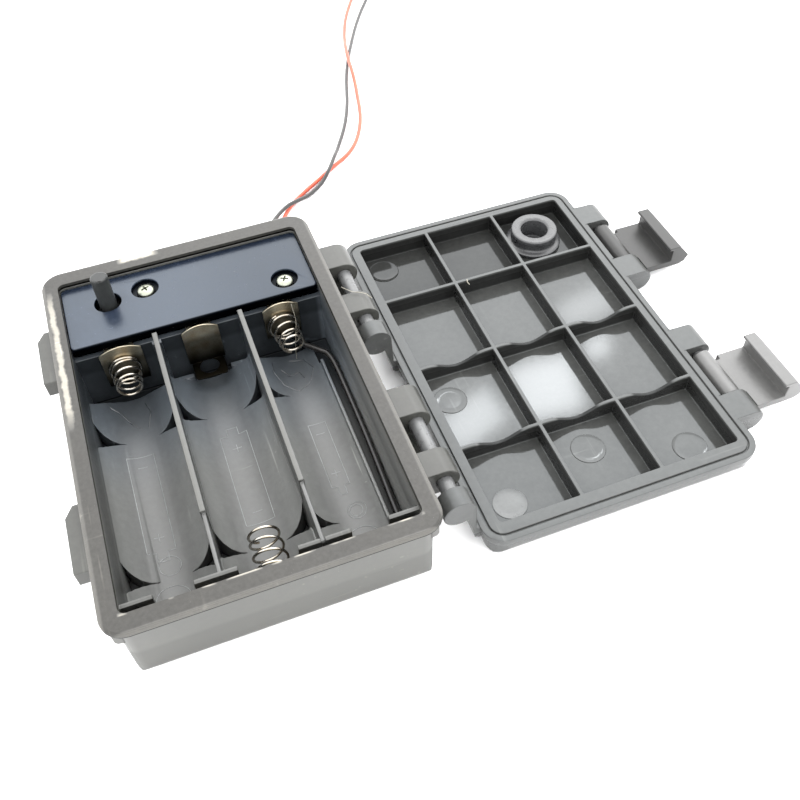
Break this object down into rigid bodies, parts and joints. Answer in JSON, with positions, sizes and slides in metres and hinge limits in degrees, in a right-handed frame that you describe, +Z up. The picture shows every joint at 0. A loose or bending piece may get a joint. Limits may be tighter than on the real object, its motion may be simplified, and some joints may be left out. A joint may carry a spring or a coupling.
{
  "type": "cylindrical cell holder",
  "caption": "Weather-sealed battery box for AA cells with a hinged, latched lid, a push switch under a cover plate and flying leads.",
  "frame": {"origin": "centre of the case base, on the surface it stands on", "axes": "+X across the cells towards the hinge and the open lid, +Y along the cells towards the switch end and the leads, +Z up"},
  "size_m": [0.1396, 0.2121, 0.0235],
  "materials": {
    "case_plastic": "satin moulded black ABS with fine scuffs",
    "lid_plastic": "satin moulded black ABS, glossy inside",
    "cover_plastic": "glossy black ABS with dust",
    "gasket_rubber": "dull brown-black elastomer",
    "boot_rubber": "black silicone",
    "stem_plastic": "black nylon",
    "screw_steel": "zinc plated",
    "contact_nickel": "nickel plated spring steel",
    "pin_steel": "drawn wire",
    "brass_terminal": "stamped",
    "wire_red": "red PVC",
    "wire_black": "black PVC"
  },
  "bodies": {
    "case": {"body_case": "case_plastic", "rim_gasket": "gasket_rubber", "switch_cover_plate": "cover_plastic", "cover_screws": "screw_steel", "switch_housing": "stem_plastic", "stem_spring": "contact_nickel", "switch_terminals": "brass_terminal", "contact_far_left": "contact_nickel", "contact_far_double": "contact_nickel", "contact_near_double": "contact_nickel", "contact_near_right": "contact_nickel", "spring_far_left": "contact_nickel", "spring_far_right": "contact_nickel", "spring_near_middle": "contact_nickel", "channel_wire": "wire_black", "inner_red_wire": "wire_red", "inner_black_wire": "wire_black", "lead_grommet": "boot_rubber", "hinge_pin_far": "lid_plastic", "hinge_pin_near": "lid_plastic", "red_lead": "wire_red", "black_lead": "wire_black"},
    "stem": {"switch_stem": "stem_plastic"},
    "lid": {"lid_shell": "lid_plastic", "button_boot": "boot_rubber", "latch_pin_far": "pin_steel", "latch_pin_near": "pin_steel"},
    "far_latch": {"latch_far": "lid_plastic"},
    "near_latch": {"latch_near": "lid_plastic"}
  },
  "joints": [
    {"name": "lid_hinge", "type": "hinge", "parent": "case", "child": "lid", "pos_m": [0.0318, 0, 0.01212], "axis": [0, -1, 0], "range_deg": [0, 180]},
    {"name": "far_latch_pivot", "type": "hinge", "parent": "lid", "child": "far_latch", "pos_m": [0.0951, 0.0205, 0.00295], "axis": [0, -1, 0], "range_deg": [0, 90]},
    {"name": "near_latch_pivot", "type": "hinge", "parent": "lid", "child": "near_latch", "pos_m": [0.0951, -0.022, 0.00295], "axis": [0, -1, 0], "range_deg": [0, 90]},
    {"name": "switch_press", "type": "slide", "parent": "case", "child": "stem", "axis": [0, -0.1045, -0.9945], "range_m": [0, 0.0018], "stiffness_N_per_m": 600, "springref_m": -0.0005}
  ]
}
